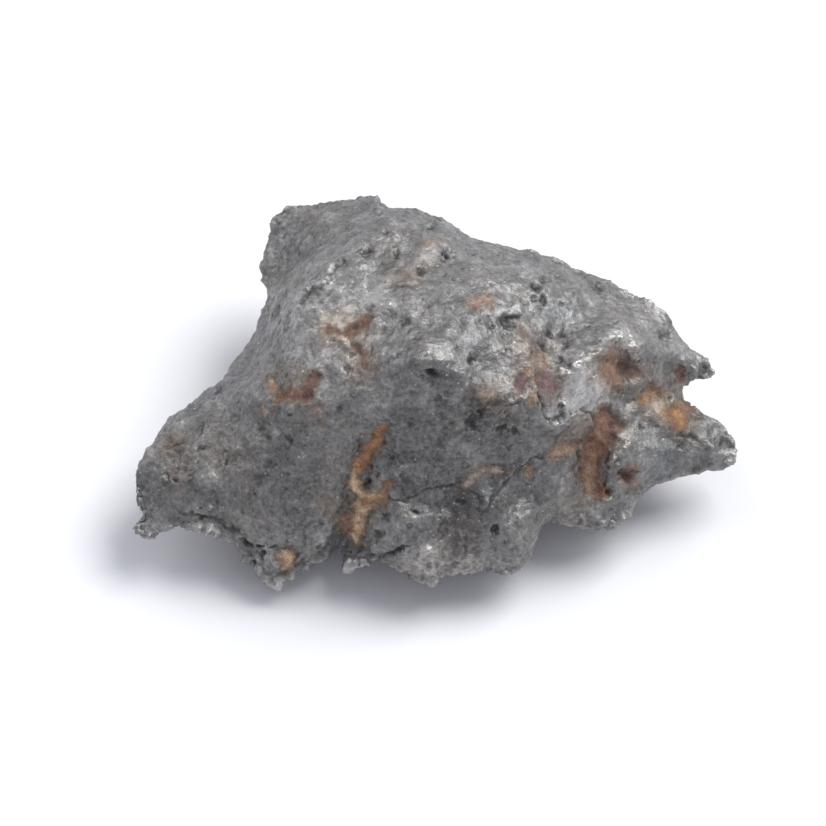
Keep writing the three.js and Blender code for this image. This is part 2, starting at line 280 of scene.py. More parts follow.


# %% [markdown]
# ## Skin
#
# Before any single mark, the whole stone gets its skin. Where melt ran and froze it is smooth and dark. Where
# the metal frothed it is a pale crust of grains that catches the light. The first map below holds that crust
# together with painted light, paler colour where a place looks lit, and the second holds the dark skin
# together with painted shade, each as across, up, radius and how strong. Both in one place make skin that is
# dark but glinting, as under the summit, where some of the glints are painted. The facet below it, turned
# from the light, has corners, so its painted shade has an outline of its own. The hidden sides get a random
# patchwork of the crust and the dark skin.

# %% Where the crust is thick, where the skin is dark, and where light and shade are painted
CRUSTS_AND_PAINTED_LIGHT = {
    # Partly painted light, on a side turned from the lamps.
    "left of the plateau": (-9.4, 7.6, 8, 1.85),
    "plateau's edge": (-11.8, 10, 1.4, 0.9),
    "top of the plateau": (-6.2, 12.2, 2, 0.35),
    "right of the plateau": (4.4, 12, 4, 0.5),
    "far right of the plateau": (8.4, 12.6, 2.6, 0.55),
    "right of the summit": (3.4, 5.8, 4.2, 0.1),
    "shoulder": (7.8, 3.4, 4.4, 0.15),
    "between the pits": (9.4, 9.6, 1.8, 0.8),
    "bright saddle": (15, 1.2, 5, 2.8),
    "foot of the saddle": (12.6, -0.6, 3, 1.3),
    "bright boss": (19.4, 6.2, 2.8, 1.2),
    "behind the boss": (21.6, 8.6, 3.4, 0.55),
    "back of the horn": (24.6, 6.4, 1.6, 0.5),
    "apron lip, left": (0.2, -16, 3.6, 1.2),
    "apron lip, middle": (4, -16.4, 3, 0.9),
    # A painted highlight on the apron's crust.
    "apron glint": (2.2, -14, 0.9, 0.9),
    "toe": (-7.5, -15.6, 1.8, 0.9),
    "summit": (-0.4, 5.2, 1.5, 0.4),
    "glints under the summit": (0.8, 1.2, 5, 1.1),
    "foot of the gutter": (16.6, -11.2, 2.2, 0.7),
    "left hem": (-23, -11.8, 3, 0.65),
    "hem at the spur": (-27.5, -12, 2.2, 0.45),
    "foot of the left lobe": (-16.4, -15.6, 2.4, 0.8),
    "under the left brow": (-11.4, -1.2, 1.2, 0.7),
    # A painted highlight on the left face's crust.
    "left face glint": (-15.4, -3.2, 1, 0.8),
}
SHADES = {
    "heart of the front facet": (1.6, -1, 4.6, 0.9),
    "beside the big pit": (5.6, -2.8, 2.4, 1.0),
    "left face": (-15, -7, 8, 0.6),
    "left end": (-25, -8, 6, 0.45),
    "left tip": (-29, -8, 3, 0.5),
    "dark of the left brow": (-14, 3, 2.6, 0.6),
    "apron": (3.4, -11.4, 7, 1.3),
    "right of the apron": (10, -9, 4.4, 0.4),
    "brown hollow": (19.4, 3, 2.6, 0.6),
    "gutter": (15.6, -5, 3, 0.5),
    "right wing": (25.6, -4.4, 5.4, 0.7),
    "grey oval": (8, 7.8, 1.3, 0.8),
    "between the left stains": (-8.2, 5.7, 2.2, 1.6),
    "right of the summit": (4.6, 5.4, 6, 0.5),
    "shoulder": (10.4, 6.4, 5, 0.3),
    "left flank": (-19, 5, 4, 0.25),
    "under the summit": (0.8, 1.2, 5, 1.85),
}
FRONT_FACET = [(-1.5, 4.8), (1.5, 3.8), (4, 2), (6, 0.2), (9, -0.2), (11.5, -1.2), (13, -3.5), (11.5, -5.5)]
FRONT_FACET += [(9, -7.5), (2, -9), (-3, -10), (-4.5, -7), (-4.7, -4), (-3.8, 0), (-3.4, 3)]


def map_of(spots):
    total = np.zeros(len(place))
    for centre_across, centre_up, radius, strength in spots.values():
        total = np.maximum(total, strength * spot(centre_across, centre_up, radius))
    return total


def inside(outline):
    """1 inside a closed outline on the face and 0 outside, by counting the sides to the right of a point."""
    crossings = np.zeros(len(place), int)
    for (a_across, a_up), (b_across, b_up) in zip(outline, outline[1:] + outline[:1]):
        spans = (a_up > at_up) != (b_up > at_up)
        side_across = a_across + (b_across - a_across) * (at_up - a_up) / (b_up - a_up or 1)
        crossings += spans & (at_across < side_across)
    return (crossings % 2) * seen


HIDDEN_CRUST, HIDDEN_SHADE, FACET_SHADE = 0.6, 0.35, 0.62
patchwork = ease(-0.1, 0.5, hills(7, 21.0) + 0.5 * hills(2.5, 31.0))
# Paler colour from this map is crust and painted light together.
crust_and_painted_light = map_of(CRUSTS_AND_PAINTED_LIGHT) + (1 - seen) * HIDDEN_CRUST * patchwork
crust_and_painted_light *= 0.8 + 0.5 * hills(1.6, 15.0)
# The front facet, turned away from the light, gets painted shade inside its outline.
shade = np.maximum(map_of(SHADES), FACET_SHADE * blur(inside(FRONT_FACET), 6))
shade += (1 - seen) * HIDDEN_SHADE * (1 - patchwork)
print("crust covers", round(100 * float((crust_and_painted_light > 0.4).mean())), "% of the stone")

# %% [markdown]
# Eight kinds of relief make the skin. The broad swells break up the solid's even slopes. The lumps are
# rounded on top and meet in creases, which is what an absolute value does to noise. The foil is the other way
# up, with sharp ridges that catch glints. The froth, the beads and the grit are ever finer, and the crust map
# lets them through most where they belong. Each has a height and a width in millimetres.

# %% Swells, lumps, foil, froth, beads and grit
SWELL_HEIGHT, SWELL_WIDTH = 0.34, 4.6
LUMP_HEIGHT, LUMP_WIDTH = 0.27, 2.3
FOIL_HEIGHT, FOIL_WIDTH = 0.06, 2.1
FROTH_HEIGHT, FROTH_WIDTH = 0.08, 0.95
BEAD_HEIGHT, BEAD_WIDTH = 0.07, 0.75
GRIT_HEIGHT, GRIT_WIDTH = 0.08, 0.38

rough = np.clip(crust_and_painted_light, 0, 1)
swells = SWELL_HEIGHT * crumple(SWELL_WIDTH, 2.0, 3)
lumps = LUMP_HEIGHT * (0.35 - np.abs(crumple(LUMP_WIDTH, 40.0, 3))) * (0.8 + 0.3 * rough)
foil = FOIL_HEIGHT * (creases(FOIL_WIDTH, 70.0) - 0.9) * (0.6 + 0.3 * rough)
froth = FROTH_HEIGHT * crumple(FROTH_WIDTH, 50.0, 3) * (0.9 + 0.2 * rough)
beads = BEAD_HEIGHT * (grains(BEAD_WIDTH, 11.0) - 0.5) * rough
grit = GRIT_HEIGHT * hills(GRIT_WIDTH, 60.0)
print("lumps span", round(float(np.ptp(lumps)), 2), "mm and froth", round(float(np.ptp(froth)), 2), "mm")

# %% [markdown]
# The last two kinds are the same noise stretched. Flow lines are measured slowly along the way the melt ran,
# and quickly across it. Ribs are drips side by side down the apron's lip. CALM lists the places where the
# melt lay still and the skin froze smoother.

# %% Flow lines, ribs and calm places
FLOW_HEIGHT, FLOW_WIDTH, FLOW_STRETCH = 0.045, 0.62, 0.86
RIB_HEIGHT, RIB_WIDTH, RIB_LENGTH = 0.5, 0.8, 2.6
MELT_RAN = np.array(Vector((0.55, 0.75, 0.36)).normalized())

squeezed = place - FLOW_STRETCH * (place @ MELT_RAN)[:, None] * MELT_RAN
stripes = np.fromiter(map(noise.noise, (squeezed / FLOW_WIDTH).tolist()), float, len(place))
flow_lines = FLOW_HEIGHT * stripes * ease(0.1, -0.5, crust_and_painted_light - 0.6 * hills(5, 8.0))

drips = np.stack([at_across / RIB_WIDTH, at_up / RIB_LENGTH, 0.3 * place[:, 2]], 1).tolist()
apron_lip = spot(2.6, -15.6, 6.5)
ribs = RIB_HEIGHT * np.fromiter(map(noise.noise, drips), float, len(place)) * apron_lip

CALM = {
    "right wing": (24.6, -4.6, 6.5, 0.75),
    "right brow": (17, 10, 5, 0.4),
    "right of the summit": (4.4, 5, 5, 0.4),
    "apron": (4, -11, 5, 0.5),
    "plateau": (0, 12, 9, 0.4),
    "shoulder": (9, 6.5, 6, 0.35),
    "left flank": (-18, 4, 5, 0.4),
}
calm = map_of(CALM)
height = swells + (lumps + foil + froth + beads + grit + flow_lines) * (1 - calm) + ribs
print("skin relief spans", round(float(np.ptp(height)), 2), "mm")

# %% [markdown]
# ## Gas pits
#
# Gas boiled out of the melt and left pits with steep walls, and a thin raised brim where the bubble burst.
# Each line is one pit: across, up, half width, half length, turn in degrees, and depth.

# %% Pits on the face
PITS = [
    (-9.3, 13.1, 0.42, 1.2, 48, 0.75),
    (-6.4, 14.9, 0.6, 0.8, 20, 0.6),
    (-3.4, 15.1, 0.35, 0.8, 78, 0.5),
    (-4.4, 16.8, 0.33, 0.4, 0, 0.4),
    (0.2, 17.3, 0.42, 0.5, 30, 0.6),
    (1.6, 14.8, 0.3, 0.9, 82, 0.7),
    (-0.8, 12.9, 0.4, 0.55, 15, 0.5),
    (1.4, 12.7, 0.24, 0.28, 0, 0.3),
    (-6.0, 8.8, 0.48, 0.55, 0, 0.35),
    (-2.6, 7.6, 0.42, 0.6, 10, 0.35),
    (-1.3, 6.1, 0.42, 0.48, 0, 0.45),
    (-4.3, 6.8, 0.45, 0.8, 5, 0.3),
    (-7.3, 5.0, 0.5, 0.6, 60, 0.25),
    (-8.3, 2.9, 0.42, 0.5, 40, 0.5),
    (-8.9, -0.9, 0.42, 0.55, 60, 0.55),
    (0.1, 2.6, 0.6, 0.72, 10, 0.85),
    (7.7, 7.9, 0.85, 1.05, 160, 0.6),
    (4.9, 7.9, 0.22, 0.24, 0, 0.35),
    (10.6, 11.3, 0.55, 0.65, 120, 0.6),
    (11.5, 12.1, 0.5, 0.75, 20, 0.55),
    (10.5, 10.0, 0.42, 0.5, 0, 0.55),
    (11.4, 10.0, 0.36, 0.42, 0, 0.5),
    (9.2, 9.8, 0.28, 0.75, 155, 0.45),
    (11.9, 6.5, 0.36, 0.45, 80, 0.5),
    (13.2, 6.5, 0.42, 0.5, 0, 0.4),
    (13.5, 5.6, 0.45, 0.5, 0, 0.4),
    (4.3, 4.0, 0.42, 0.5, 60, 0.6),
    (4.2, -2.2, 0.85, 1.0, 165, 0.7),
    (4.9, -1.2, 0.4, 0.5, 60, 0.7),
    (7.3, -3.0, 0.45, 0.55, 10, 0.55),
    (8.2, -3.1, 0.36, 0.4, 0, 0.5),
    (7.9, -4.7, 0.26, 0.4, 10, 0.35),
    (3.0, -10.2, 0.34, 0.42, 70, 0.5),
    (6.5, -13.0, 0.34, 0.6, 70, 0.5),
    (-1.3, -11.1, 0.22, 0.85, 175, 0.5),
    (-5.1, -13.4, 0.55, 0.8, 20, 0.5),
    (-4.5, -11.7, 0.28, 0.35, 0, 0.35),
    (-6.4, -8.25, 0.45, 0.55, 30, 0.8),
    (-4.0, -5.9, 0.26, 0.36, 0, 0.4),
    (-5.0, -7.4, 0.25, 0.3, 0, 0.35),
    (-23.1, -2.9, 0.36, 0.62, 40, 0.5),
    (-25.0, -4.5, 0.42, 0.5, 30, 0.4),
    (-22.8, -4.7, 0.28, 0.4, 25, 0.35),
    (-20.3, -5.1, 0.25, 0.4, 10, 0.35),
    (-20.9, -5.6, 0.25, 0.3, 0, 0.25),
    (-21.2, 0.6, 0.3, 0.9, 45, 0.4),
    (-26.5, -7.5, 0.22, 0.4, 120, 0.35),
    (-25.6, -8.0, 0.24, 0.55, 160, 0.4),
    (-24.1, -7.6, 0.2, 0.26, 0, 0.3),
    (-14.0, -4.0, 0.34, 0.42, 20, 0.4),
    (-22.8, -11.6, 0.2, 0.9, 170, 0.4),
    (-11.0, -14.7, 0.2, 0.24, 0, 0.3),
    (23.7, 6.6, 0.36, 0.62, 165, 0.4),
    (17.0, 11.3, 0.5, 0.6, 0, 0.35),
    (29.5, -4.2, 0.7, 0.8, 0, 0.3),
    (26.6, -3.7, 0.4, 0.45, 0, 0.3),
    (25.2, -3.5, 0.3, 0.4, 0, 0.25),
    (25.2, -4.6, 0.3, 0.38, 0, 0.25),
    (21.2, -2.7, 0.26, 0.4, 30, 0.4),
    (18.7, -6.2, 0.26, 0.5, 60, 0.4),
    (19.7, -7.7, 0.65, 0.85, 30, 0.7),
    (17.9, -9.3, 0.35, 0.42, 0, 0.6),
    (-18.3, -14.4, 0.3, 0.9, 150, 0.7),
    (-17.0, -14.8, 0.32, 0.5, 0, 0.8),
    (-16.8, -15.5, 0.28, 0.6, 110, 0.7),
    (-17.5, -16.2, 0.25, 0.4, 60, 0.6),
    (-15.6, -14.6, 0.26, 0.6, 20, 0.6),
]
print("the longest pit is", round(2 * max(pit[3] for pit in PITS), 1), "mm long")

# %% [markdown]
# A pit's section is a smooth bowl with a low ring round it. The reach is nibbled by noise before either is
# worked out, so the pit is never a clean oval. Two maps are kept for the finish: `hollow`, where painted
# shade darkens the pit, and `brims`, which are too thin to take a polish.


# %% Press the pits
def ring(value, middle, half_width):
    """1 on a line and 0 away from it, with a soft bell-shaped section."""
    return np.exp(-(((value - middle) / half_width) ** 2))


BOWL_DEPTH, BRIM_HEIGHT = 0.7, 0.04
DEEP_PIT = 0.6
nibbled = 0.45 * hills(0.5, 81.0)
hollow = np.zeros(len(place))
brims = np.zeros(len(place))
for centre_across, centre_up, half_width, half_length, turn, depth in PITS:
    reach = pit_reach(centre_across, centre_up, half_width, half_length, turn) + nibbled
    bowl = (1 - ease(0.0, 1.4, reach)) * seen
    brim = ring(reach, 1.45, 0.35) * seen
    height += depth * (BRIM_HEIGHT * brim - BOWL_DEPTH * bowl)
    hollow = np.maximum(hollow, bowl * min(1, depth / DEEP_PIT))
    brims = np.maximum(brims, brim)
print(len(PITS), "pits pressed into the face")

# %% [markdown]
# ## Cracks, creases and frozen drips
#
# Two more marks come from flowing metal. A **groove** is where two flows met and did not join: just a narrow
# trough. A **lap** is where one flow ran over another: the surface steps up sharply along the line and eases
# off behind it, and the step throws a thin dark shadow, which is also painted into the hollow map, as is the
# shade down in a groove. A lap rises on the left of its line as you walk it.
#
# A groove's line is half width, depth and points. A lap's is step, breadth behind the step, and points.

# %% Grooves and laps
GROOVES = {
    "between facet and apron": (
        0.16,
        0.3,
        [(-4.2, -9.9), (-3, -10.1), (-1.8, -9.6), (0.1, -8.9), (2.2, -8.6), (3.4, -8.1)],
    ),
    "down the apron": (0.3, 0.35, [(4.2, -9.3), (5, -10.4), (5, -12)]),
    "apron, far right": (0.25, 0.25, [(8.6, -10.4), (8.4, -12.2), (9.4, -13.6)]),
    "across the shoulder": (0.3, 0.4, [(10.4, 5.8), (12, 4.8), (13.2, 3.8), (14.2, 3)]),
    "under the boss": (0.17, 0.4, [(15.5, 7.2), (16.7, 7.2), (17.8, 7.5), (19, 7.8)]),
    "on the plateau": (0.2, 0.25, [(-5, 11.1), (-3.8, 10.9), (-2.3, 11.3), (-0.8, 11.8)]),
    "above the brow": (0.5, 0.3, [(-14.2, 10), (-13, 11.6), (-10.4, 12.6)]),
    "hem": (0.25, 0.35, [(-24.4, -11.4), (-22, -11.6), (-19.8, -12.8), (-18.6, -13.6)]),
    "left lobe": (0.22, 0.35, [(-12.6, -12.8), (-12.4, -14.4), (-13.4, -15.6)]),
    "beside the slot": (0.22, 0.3, [(-13.4, -16.4), (-11.6, -15.9), (-10.6, -15.2)]),
    "gutter, left wall": (0.28, 0.3, [(14.7, -4.8), (14.9, -6.6), (15.3, -8)]),
    "gutter, right wall": (0.26, 0.3, [(17.8, -5.2), (17.2, -7), (17.3, -8.4)]),
}
LAPS = {
    "curl": (0.75, 1.2, [(13, -0.6), (12.9, -1.6), (12, -2.1), (11, -1.6), (10.7, -0.6), (10.6, 0.4)]),
    "arc": (0.65, 0.9, [(16.3, -2.4), (15.7, -1.4), (14.8, -1), (14, -1.4)]),
    "apron lip": (0.8, 1.1, [(-1.4, -14), (-2.4, -14.8), (-3.6, -15.3), (-5.4, -15.7)]),
    "first bright fold": (0.35, 0.6, [(8.4, 0.4), (7.2, -0.2), (5.7, -0.8)]),
    "second bright fold": (0.3, 0.5, [(9.6, -1), (8.7, -0.3), (7.6, -0.6), (6.6, -1.4)]),
    "diagonal fold": (0.6, 0.9, [(6, -10), (6.7, -9.2), (7.7, -8), (8.4, -7), (9.6, -6), (11, -5.4)]),
    "summit fold": (0.3, 0.8, [(-5.4, 3.2), (-4, 4), (-2.8, 4.7), (-1.4, 5.4), (0.4, 5)]),
    "plateau edge": (0.35, 1.2, [(-14.4, 7.4), (-13.4, 9.2), (-12, 10.6), (-10.6, 11.4)]),
}
print(len(GROOVES), "grooves and", len(LAPS), "laps")

# %% Cut the grooves and raise the laps
DEEP_GROOVE, HIGH_STEP = 0.4, 0.5
TROUGH_DEPTH, TROUGH_DARKNESS = 0.6, 0.6
RISE, UNDERCUT_DEPTH, UNDERCUT_DARKNESS = 0.75, 0.25, 0.45
broken = np.clip(0.85 + 0.9 * hills(1.7, 66.0), 0, 1) * seen
# Painted shade goes into the hollow map down each trough and under each step.
for half_width, depth, points in GROOVES.values():
    reach, _ = near_line(points, [half_width] * len(points))
    trough = ring(reach, 0, 1) * broken
    height -= TROUGH_DEPTH * depth * trough
    hollow = np.maximum(hollow, TROUGH_DARKNESS * trough * min(1, depth / DEEP_GROOVE))
for step, breadth, points in LAPS.values():
    _, side = near_line(points, [1] * len(points))
    rise = ease(-0.1, 0.2, side) * np.exp(-np.abs(side) / breadth)
    undercut = ring(side, -0.16, 0.18)
    height += step * (RISE * rise - UNDERCUT_DEPTH * undercut) * broken
    hollow = np.maximum(hollow, UNDERCUT_DARKNESS * undercut * broken * step / HIGH_STEP)
print("with them the relief spans", round(float(np.ptp(height)), 2), "mm")

# %% [markdown]
# ## Rust
#
# Meteoritic iron rusts from its hollows outward, because that is where water stays. Fresh rust is orange,
# old rust is brown, and where it has dried to a powder it is tan. Two flat, maroon ovals on the shoulder are
# grains of another mineral, worn level with the metal. STAINS lists the chain of points, the half widths
# along it, the colour, how strong it is, and how far the stain is sunk (or raised, below zero).

# %% Stains on the face
RUST_ORANGE = "#a2785a"
RUST_BROWN = "#7f604e"
DARK_BROWN = "#6c5048"
OCHRE = "#94704e"
TAN = "#9a836e"
PALE_TAN = "#a2968a"
# Cream is a pale tan made paler still, to carry a painted highlight on the vein's lower branch.
CREAM_WITH_HIGHLIGHT = "#cfb190"
MAROON = "#6c5658"
PINK_BROWN = "#9a8579"

STAINS = [
    ([(-4.8, -2.8), (-5.7, -4.6), (-6.9, -6.3), (-7.3, -7)], [0.4, 0.7, 0.8, 0.6], RUST_ORANGE, 1, 0.15),
    ([(-7.5, -7.3), (-7.5, -8.5), (-6.9, -9.3), (-5.9, -9.7)], [0.5, 0.5, 0.5, 0.5], CREAM_WITH_HIGHLIGHT, 1, -0.1),
    ([(-4.1, -8.4), (-4.8, -9.4), (-5.8, -9.9)], [0.5, 0.55, 0.4], RUST_BROWN, 1, 0.1),
    ([(-5.4, -9.7), (-7, -10.8), (-7.3, -12.4), (-7.3, -14)], [0.6, 0.95, 0.75, 0.5], CREAM_WITH_HIGHLIGHT, 1, 0.0),
    ([(-4.4, -9.7), (-5.4, -10), (-6.6, -10.3)], [0.4, 0.5, 0.5], RUST_ORANGE, 0.8, 0.1),
    ([(-8.5, -12.2), (-8.4, -12.6)], [0.7, 0.65], RUST_BROWN, 0.9, -0.15),
    ([(17.3, -0.9), (17.8, -2)], [0.6, 0.9], DARK_BROWN, 0.9, 0.2),
    ([(17.3, -2.2), (17.2, -3.6), (16.8, -4.9)], [1.2, 1.4, 1.1], RUST_BROWN, 1, 0.2),
    ([(19.2, -2.6), (18.2, -3.2)], [0.6, 0.9], DARK_BROWN, 0.9, 0.15),
    ([(12, -5.4), (13.3, -4.7), (15, -4.4)], [0.4, 0.65, 0.55], TAN, 0.9, 0.15),
    ([(16.3, -5.2), (16, -7.4), (16.3, -8.9), (17.6, -9.4)], [1.0, 0.9, 0.8, 0.5], RUST_BROWN, 1, 0.25),
    ([(16.1, -6.8), (16.1, -8.6)], [0.5, 0.5], TAN, 0.8, 0.0),
    ([(21.8, 0.2), (22.7, 0.4)], [1.0, 1.0], OCHRE, 1, 0.15),
    ([(22.7, -0.3), (23.8, -1.3)], [0.9, 0.9], PALE_TAN, 1, 0.1),
    ([(24.8, -1.4), (25, -1.8)], [1.3, 1.3], OCHRE, 1, 0.15),
    ([(25.8, -0.9), (26.1, -1.2)], [0.6, 0.5], RUST_BROWN, 0.8, 0.1),
    ([(-16, 2.1), (-15.6, 0.9), (-15.3, 0.2)], [0.4, 0.55, 0.6], TAN, 0.95, 0.2),
    ([(-15.3, 0.3), (-13.6, 0.5), (-12.2, 0.7)], [0.6, 0.6, 0.55], RUST_BROWN, 0.9, 0.2),
    ([(-12.3, 0.5), (-11.8, 1.6), (-11.4, 2.3)], [0.6, 0.7, 0.45], DARK_BROWN, 1, 0.25),
    ([(-16.8, -0.6), (-16.5, -1.2)], [0.4, 0.4], PALE_TAN, 0.7, 0),
    ([(-11.6, -0.2), (-11, -1.6)], [0.45, 0.4], PALE_TAN, 0.6, 0),
    ([(-10.1, 7), (-9.2, 6.9)], [0.6, 0.4], RUST_BROWN, 0.85, 0.04),
    ([(-8.4, 6.7), (-7.2, 7.4), (-5.9, 8.4)], [0.55, 0.4, 0.3], RUST_BROWN, 0.85, 0.04),
    ([(-7.2, 5.2), (-6.6, 4.2), (-6.4, 3.2)], [0.5, 0.4, 0.35], RUST_BROWN, 0.8, 0.0),
    ([(4.3, 9.5), (5.8, 9.8)], [0.5, 0.65], PINK_BROWN, 0.8, 0),
    ([(9.2, 7), (9.4, 6.4)], [0.5, 0.4], RUST_BROWN, 0.5, 0.05),
    ([(8.9, 2), (8.9, 1.3)], [0.55, 0.55], MAROON, 1, 0.02),
    ([(11.3, 1.9), (11.8, 1.7)], [1.1, 1.1], MAROON, 0.9, 0.02),
    ([(10.8, 4.2), (11.2, 3.4)], [0.7, 0.5], PINK_BROWN, 0.8, 0.1),
    ([(9.9, 3), (9.8, 2.6)], [0.4, 0.4], TAN, 0.7, 0),
    ([(10.2, 0.3), (10.1, -0.3)], [0.5, 0.4], TAN, 0.75, 0.1),
    ([(5.2, 0.5), (5.9, 0.3)], [0.8, 0.8], PALE_TAN, 0.9, 0.05),
    ([(18, 3.9), (18.2, 2.4), (18.6, 1.6)], [1.1, 1.3, 0.8], RUST_BROWN, 0.75, 0.1),
    ([(19.6, 3), (20.6, 2.8)], [0.8, 0.7], DARK_BROWN, 0.7, 0.05),
    ([(25.3, 2.9), (25.2, 2.1)], [0.55, 0.6], RUST_BROWN, 0.7, 0.15),
    ([(3.5, -8.2), (4.4, -7.5), (5.7, -7), (7.1, -7.1)], [0.5, 0.4, 0.4, 0.3], PALE_TAN, 0.95, 0.0),
    ([(9.8, -7.1), (10, -7.4)], [0.42, 0.4], TAN, 0.85, 0.05),
    ([(19.6, -7.6), (19.9, -7.8)], [0.8, 0.8], DARK_BROWN, 0.9, 0.1),
    ([(20.1, -6.6), (20.4, -6.9)], [0.5, 0.45], RUST_BROWN, 0.6, 0),
    ([(-14.4, -15.8), (-14.3, -16)], [0.75, 0.7], CREAM_WITH_HIGHLIGHT, 1, -0.3),
    ([(-26.5, -4.9), (-25, -3.7)], [0.35, 0.4], RUST_BROWN, 0.35, 0),
    ([(-25.6, -7.8), (-25, -8.4)], [0.9, 0.8], RUST_BROWN, 0.25, 0),
    ([(-10.1, -10.3), (-10, -10.9)], [0.5, 0.45], RUST_BROWN, 0.4, 0),
    ([(-0.6, 15.6), (0.8, 16)], [0.3, 0.3], PINK_BROWN, 0.5, 0),
    ([(-4, 12.4), (-2, 12.2)], [0.7, 0.6], RUST_BROWN, 0.25, 0),
]
print(len(STAINS), "stains in", len({stain[2] for stain in STAINS}), "colours")

# %% [markdown]
# A stain is strongest in the middle and torn at the edge. Around it the metal is stained too, much more
# weakly: that is its halo. Broad stains are torn less in their own half widths, so the tear is about as deep
# on each. Last, the powder varies from place to place, and a little more in blue than in red.


# %% Lay the stains
def linear(code):
    """A screen colour such as #84543a as the linear light that Blender mixes."""
    parts = [int(code[i : i + 2], 16) / 255 for i in (1, 3, 5)]
    return [p / 12.92 if p <= 0.04045 else ((p + 0.055) / 1.055) ** 2.4 for p in parts]


TEAR, TEAR_LIMIT = 0.5, 0.2
stain_colour = np.tile(linear(RUST_BROWN), (len(place), 1))
stain = np.zeros(len(place))
halo = np.zeros(len(place))
ragged = 0.5 * hills(0.9, 33.0) + 0.4 * hills(0.42, 35.0)
for points, half_widths, colour, strength, sink in STAINS:
    reach, _ = near_line(points, half_widths)
    torn = ragged * TEAR / (TEAR_LIMIT + max(half_widths))
    cover = (1 - ease(0.3, 1.6, reach + torn)) * seen
    core = 0.85 + 0.3 * (1 - ease(0.1, 0.9, reach + torn))
    halo = np.maximum(halo, strength * (1 - ease(0.8, 2.8, reach + 2 * torn)) * seen)
    height -= sink * cover
    laid = (cover * strength)[:, None]
    stain_colour = stain_colour * (1 - laid) + core[:, None] * np.array(linear(colour)) * laid
    stain = np.maximum(stain, cover * strength)

POWDER_CONTRAST = 0.6
POWDER_BY_CHANNEL = np.array([0.85, 1.0, 1.1])
powder = hills(0.8, 44.0) + 0.5 * hills(0.4, 46.0)
stain_colour *= 1 + POWDER_CONTRAST * powder[:, None] * POWDER_BY_CHANNEL
print("rust covers", round(100 * float((stain > 0.4).mean()), 1), "% of the stone")

# %% [markdown]
# ## The sides turned away
#
# A stone is turned over in the hand, so the back and the belly need the same story. There the marks are
# scattered by a seeded random generator instead of placed one by one: broad thumbprints, where the air
# scooped the metal as it fell, then pits, then rust. The face gets a sprinkle of pinpricks as well.

# %% Thumbprints, pits and pinpricks
SEED = 7
THUMBPRINTS, THUMBPRINT_RADII, THUMBPRINT_DEPTHS = 34, (2.4, 4.2), (0.4, 0.9)
HIDDEN_PITS, SMALLEST_PIT, DEEPEST_PIT = 190, 0.24, 0.9
PINPRICKS, PINPRICK_RADII = 90, (0.16, 0.3)

rng = np.random.default_rng(SEED)
tree = kdtree.KDTree(len(place))
for i, at in enumerate(place.tolist()):
    tree.insert(at, i)
tree.balance()
hidden = np.flatnonzero(seen < 0.05)


def around(index, radius):
    """The points within a radius of one point, and how far away each is."""
    found = tree.find_range(place[index].tolist(), radius)
    return np.array([i for _, i, _ in found]), np.array([d for _, _, d in found])


def press(index, radius, depth, flatness=0.4):
    """A round dent in the surface about one point. Returns the points in it, and how deep in each is."""
    near, distance_in = around(index, radius * 1.6)
    reach = (distance_in + 0.8 * wander[0][near]) / radius
    bowl = 1 - ease(flatness, 1.1, reach)
    height[near] -= depth * (bowl - 0.1 * ring(reach, 1.25, 0.25))
    return near, bowl


for index in rng.choice(hidden, THUMBPRINTS):
    press(index, rng.uniform(*THUMBPRINT_RADII), rng.uniform(*THUMBPRINT_DEPTHS), flatness=0.0)
# Pits and pinpricks also get painted shade in the hollow map.
for index in rng.choice(hidden, HIDDEN_PITS):
    radius = SMALLEST_PIT + rng.gamma(2.0, 0.16)
    near, bowl = press(index, radius, min(DEEPEST_PIT, radius * 0.85))
    hollow[near] = np.maximum(hollow[near], bowl)
for index in rng.choice(np.flatnonzero(seen > 0.9), PINPRICKS):
    radius = rng.uniform(*PINPRICK_RADII)
    near, bowl = press(index, radius, radius * 0.5)
    hollow[near] = np.maximum(hollow[near], 0.5 * bowl)
print("hidden sides carry", len(hidden), "points")

# %% [markdown]
# Rust on the hidden sides lies in the low parts of the swells, and keeps clear of the thin left end and the
# rim. Its age is a noise of its own, and picks a colour between brown, orange and tan.

# %% Rust on the hidden sides
LEFT_END_CLEAR, LEFT_END_FULL = -27, -24
RUST_DEPTH = 0.08
AGES = [0, 1, 2]

low_places = ease(0.1, 0.6, hills(3.1, 77.0) + 0.4 * hills(0.9, 79.0) - 0.35 * swells)
low_places *= ease(-0.35, -0.65, looks_out) * ease(LEFT_END_CLEAR, LEFT_END_FULL, across) * (1 - rim)
stain = np.maximum(stain, 0.85 * low_places)
by_age = np.transpose([linear(RUST_BROWN), linear(RUST_ORANGE), linear(TAN)])
age = np.clip(1 + 1.6 * hills(2.0, 91.0), 0, 2)
mixed = np.stack([np.interp(age, AGES, channel) for channel in by_age], 1)
stain_colour = np.where((low_places > 0.02)[:, None], mixed, stain_colour)
height -= RUST_DEPTH * low_places
print("hidden rust covers", round(100 * float((low_places > 0.4).mean()), 1), "% of the stone")

# %% [markdown]
# ## The torn rim
#
# Where the stone broke away the rim is torn into a crumbly frill. Elsewhere it is only a little rough. FRAYED
# says where, as across, up, radius and how strong. Nothing is frayed where the rim looks down, or a row of
# teeth would hang from it.

